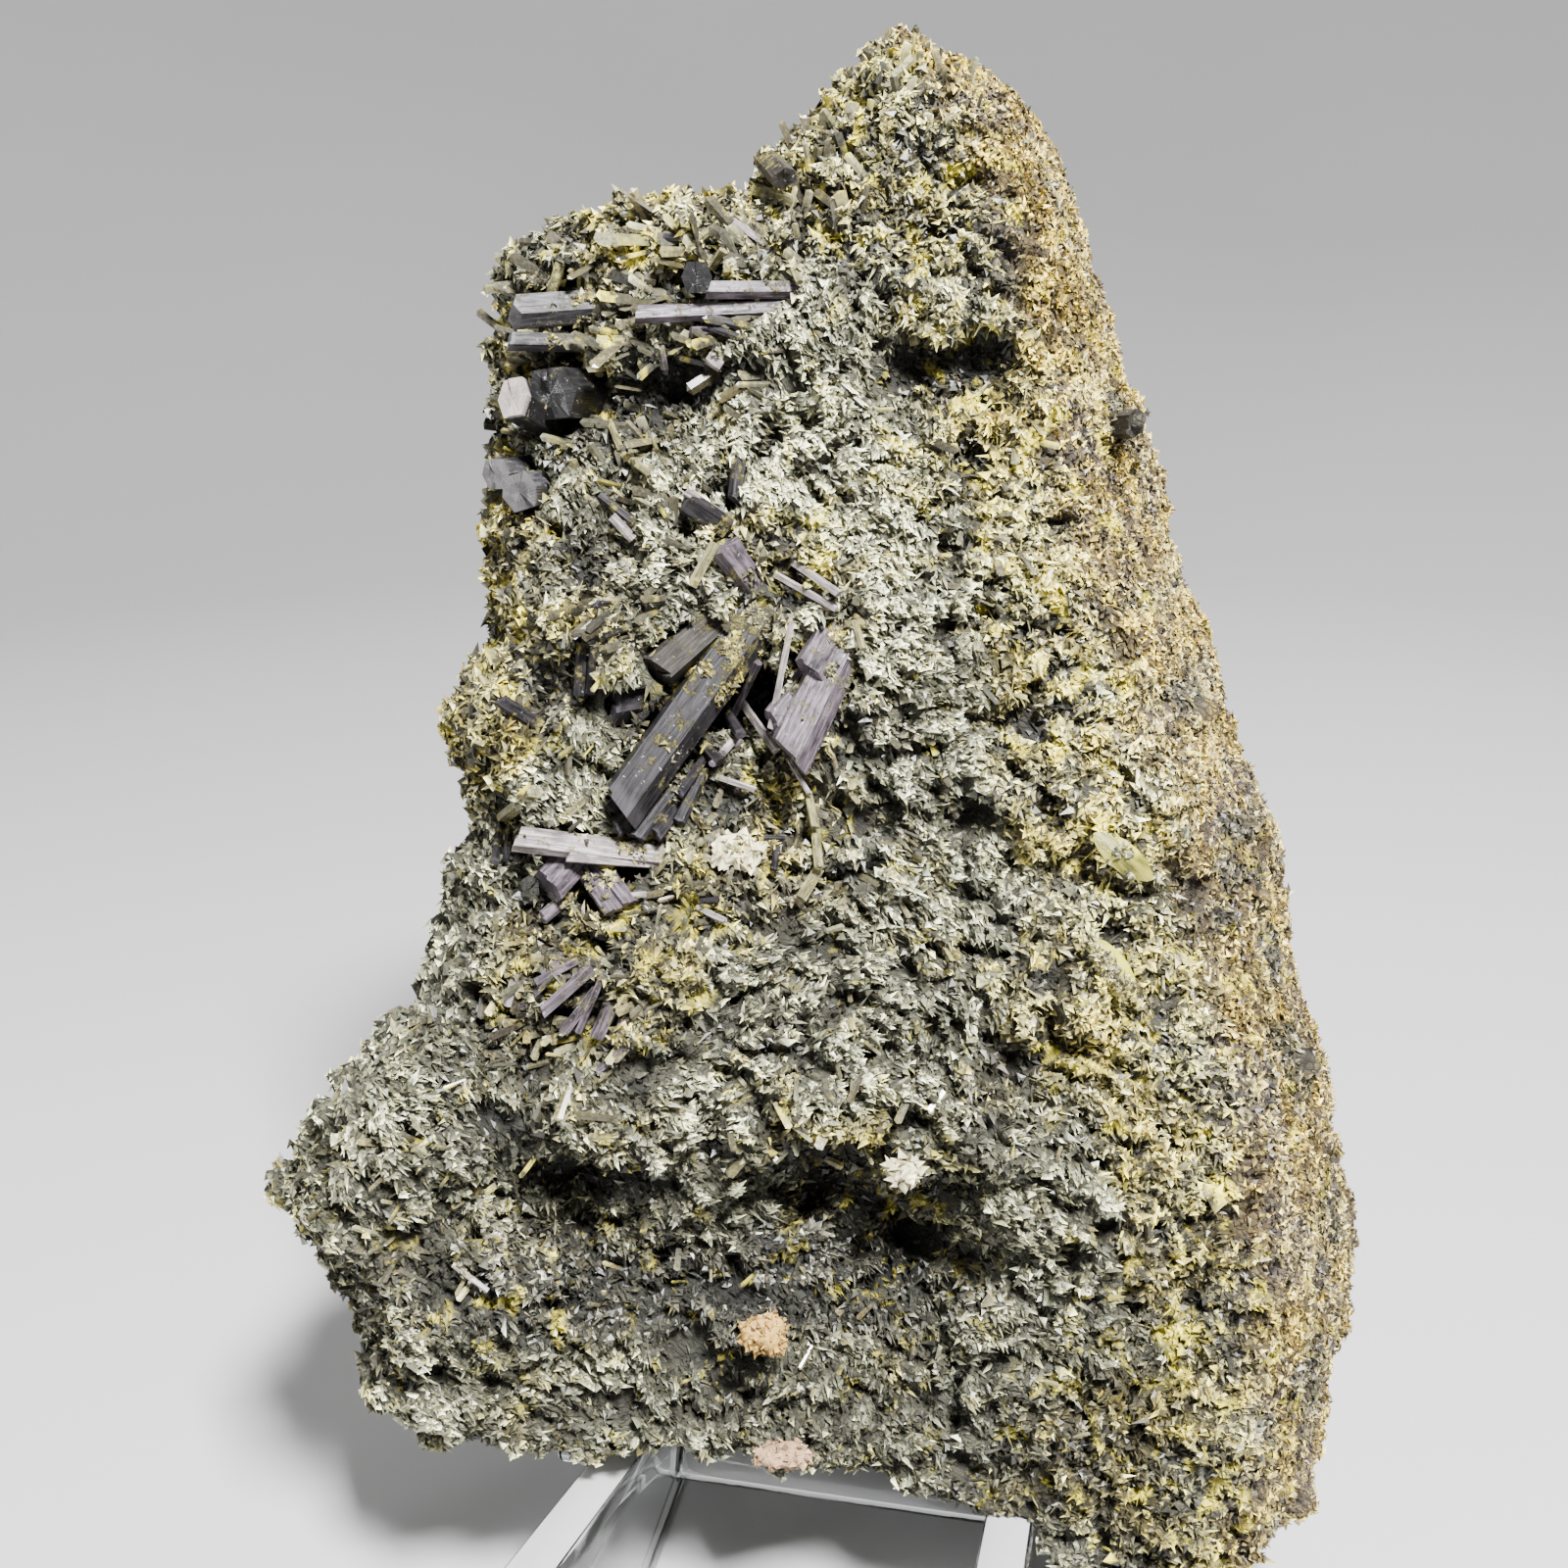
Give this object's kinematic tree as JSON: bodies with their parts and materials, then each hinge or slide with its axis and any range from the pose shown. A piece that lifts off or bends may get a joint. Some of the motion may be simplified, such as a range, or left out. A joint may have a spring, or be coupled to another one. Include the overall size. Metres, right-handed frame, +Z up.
{
  "type": "epidote crystal cluster on a display stand",
  "caption": "Tall wedge of felted grey-green epidote matrix with dark striated prisms, leaning back on a clear display stand.",
  "frame": {"origin": "middle of the footprint, on the surface that the stand stands on", "axes": "+Z up, -Y out of the front of the specimen, +X to the right as seen from the front"},
  "size_m": [0.1224, 0.1412, 0.1708],
  "materials": {
    "felted_matrix": "felt of tiny grey-green to yellow-green blades, silky on the high spots",
    "dark_epidote": "glassy, striated along the length",
    "pale_epidote": "glassy, finely striated",
    "grey_epidote": "glassy with worn pale ends",
    "yellow_green_epidote": "glassy, slightly milky",
    "clear_acrylic": "clear, polished edges"
  },
  "bodies": {
    "root": {"matrix_rock": "felted_matrix", "centre_prisms": "dark_epidote", "cross_prism": "pale_epidote", "upper_left_blocks": "dark_epidote", "upper_long_prisms": "pale_epidote", "barrel_crystal": "grey_epidote", "left_hex_crystals": "grey_epidote", "lens_crystal_upper": "yellow_green_epidote", "lens_crystal_lower": "yellow_green_epidote", "stand_plate_left": "clear_acrylic", "stand_plate_right": "clear_acrylic", "stand_rod_front": "clear_acrylic", "stand_rod_back": "clear_acrylic"}
  },
  "joints": []
}
